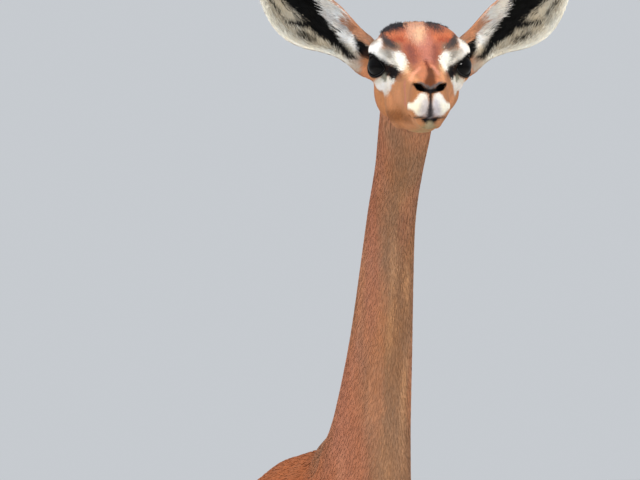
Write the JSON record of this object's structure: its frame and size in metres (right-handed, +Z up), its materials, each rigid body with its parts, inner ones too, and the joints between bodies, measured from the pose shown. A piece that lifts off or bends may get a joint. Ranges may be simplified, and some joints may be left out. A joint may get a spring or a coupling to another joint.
{
  "type": "gerenuk",
  "caption": "Female gerenuk standing alert, a long-necked antelope with large spread ears, her head turned to her right; a still, life-size model.",
  "frame": {"origin": "centre of the bounding box on the floor that the hooves stand on", "axes": "+Z up from the hooves to the ear tips; -Y is where the body faces; +X is the animal's left side"},
  "size_m": [0.3186, 1.0988, 1.4387],
  "materials": {
    "coat": "short reddish-brown hair",
    "ear": "short buff hair",
    "eye": "wet, near black",
    "horn": "dark horn, slightly worn",
    "tuft": "long black hair"
  },
  "bodies": {
    "root": {"head": "coat", "lower_jaw": "coat", "left_eye": "eye", "left_ear": "ear", "right_eye": "eye", "right_ear": "ear", "neck_upper": "coat", "neck_lower": "coat", "chest": "coat", "belly": "coat", "rump": "coat", "tail": "coat", "tail_tuft": "tuft", "left_fore_forearm": "coat", "left_fore_cannon": "coat", "left_fore_foot": "coat", "left_fore_inner_claw": "horn", "left_fore_inner_dewclaw": "horn", "left_fore_outer_claw": "horn", "left_fore_outer_dewclaw": "horn", "right_fore_forearm": "coat", "right_fore_cannon": "coat", "right_fore_foot": "coat", "right_fore_inner_claw": "horn", "right_fore_inner_dewclaw": "horn", "right_fore_outer_claw": "horn", "right_fore_outer_dewclaw": "horn", "left_hind_gaskin": "coat", "left_hind_cannon": "coat", "left_hind_foot": "coat", "left_hind_inner_claw": "horn", "left_hind_inner_dewclaw": "horn", "left_hind_outer_claw": "horn", "left_hind_outer_dewclaw": "horn", "right_hind_gaskin": "coat", "right_hind_cannon": "coat", "right_hind_foot": "coat", "right_hind_inner_claw": "horn", "right_hind_inner_dewclaw": "horn", "right_hind_outer_claw": "horn", "right_hind_outer_dewclaw": "horn"}
  },
  "joints": []
}
